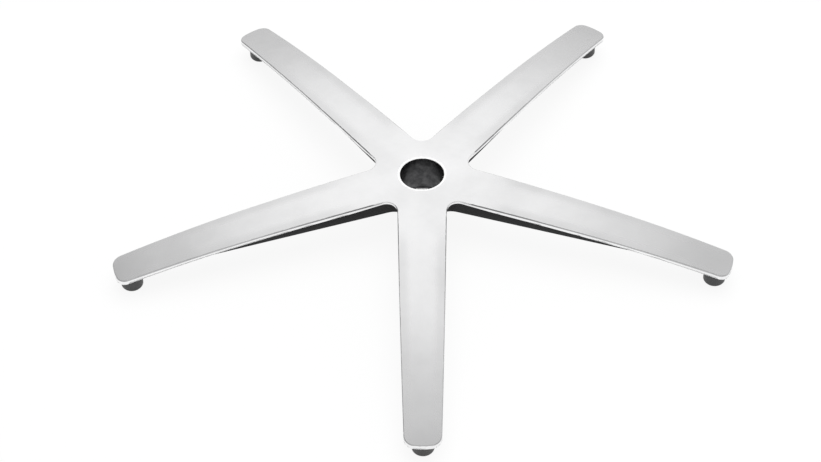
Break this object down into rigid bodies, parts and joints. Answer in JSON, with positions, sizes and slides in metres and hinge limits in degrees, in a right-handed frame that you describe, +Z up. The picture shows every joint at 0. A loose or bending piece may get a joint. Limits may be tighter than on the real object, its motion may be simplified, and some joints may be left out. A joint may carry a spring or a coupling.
{
  "type": "five-star chair base",
  "caption": "Star-shaped polished cast aluminium chair base with a tapered column socket, standing on fixed nylon glides under its arm tips.",
  "frame": {"origin": "centre of the column socket's mouth, on the flat top of the hub", "axes": "+Z up along the column, -Y along the front arm, +X to the right seen from the front"},
  "size_m": [0.6898, 0.6578, 0.0667],
  "materials": {
    "polished_aluminium": "brushed and polished",
    "black_nylon": "moulded, satin",
    "zinc_steel": "zinc plated"
  },
  "bodies": {
    "root": {"base_casting": "polished_aluminium", "glide_front": "black_nylon", "glide_front_right": "black_nylon", "glide_rear_right": "black_nylon", "glide_rear_left": "black_nylon", "glide_front_left": "black_nylon", "stud_front": "zinc_steel", "stud_front_right": "zinc_steel", "stud_rear_right": "zinc_steel", "stud_rear_left": "zinc_steel", "stud_front_left": "zinc_steel"}
  },
  "joints": []
}
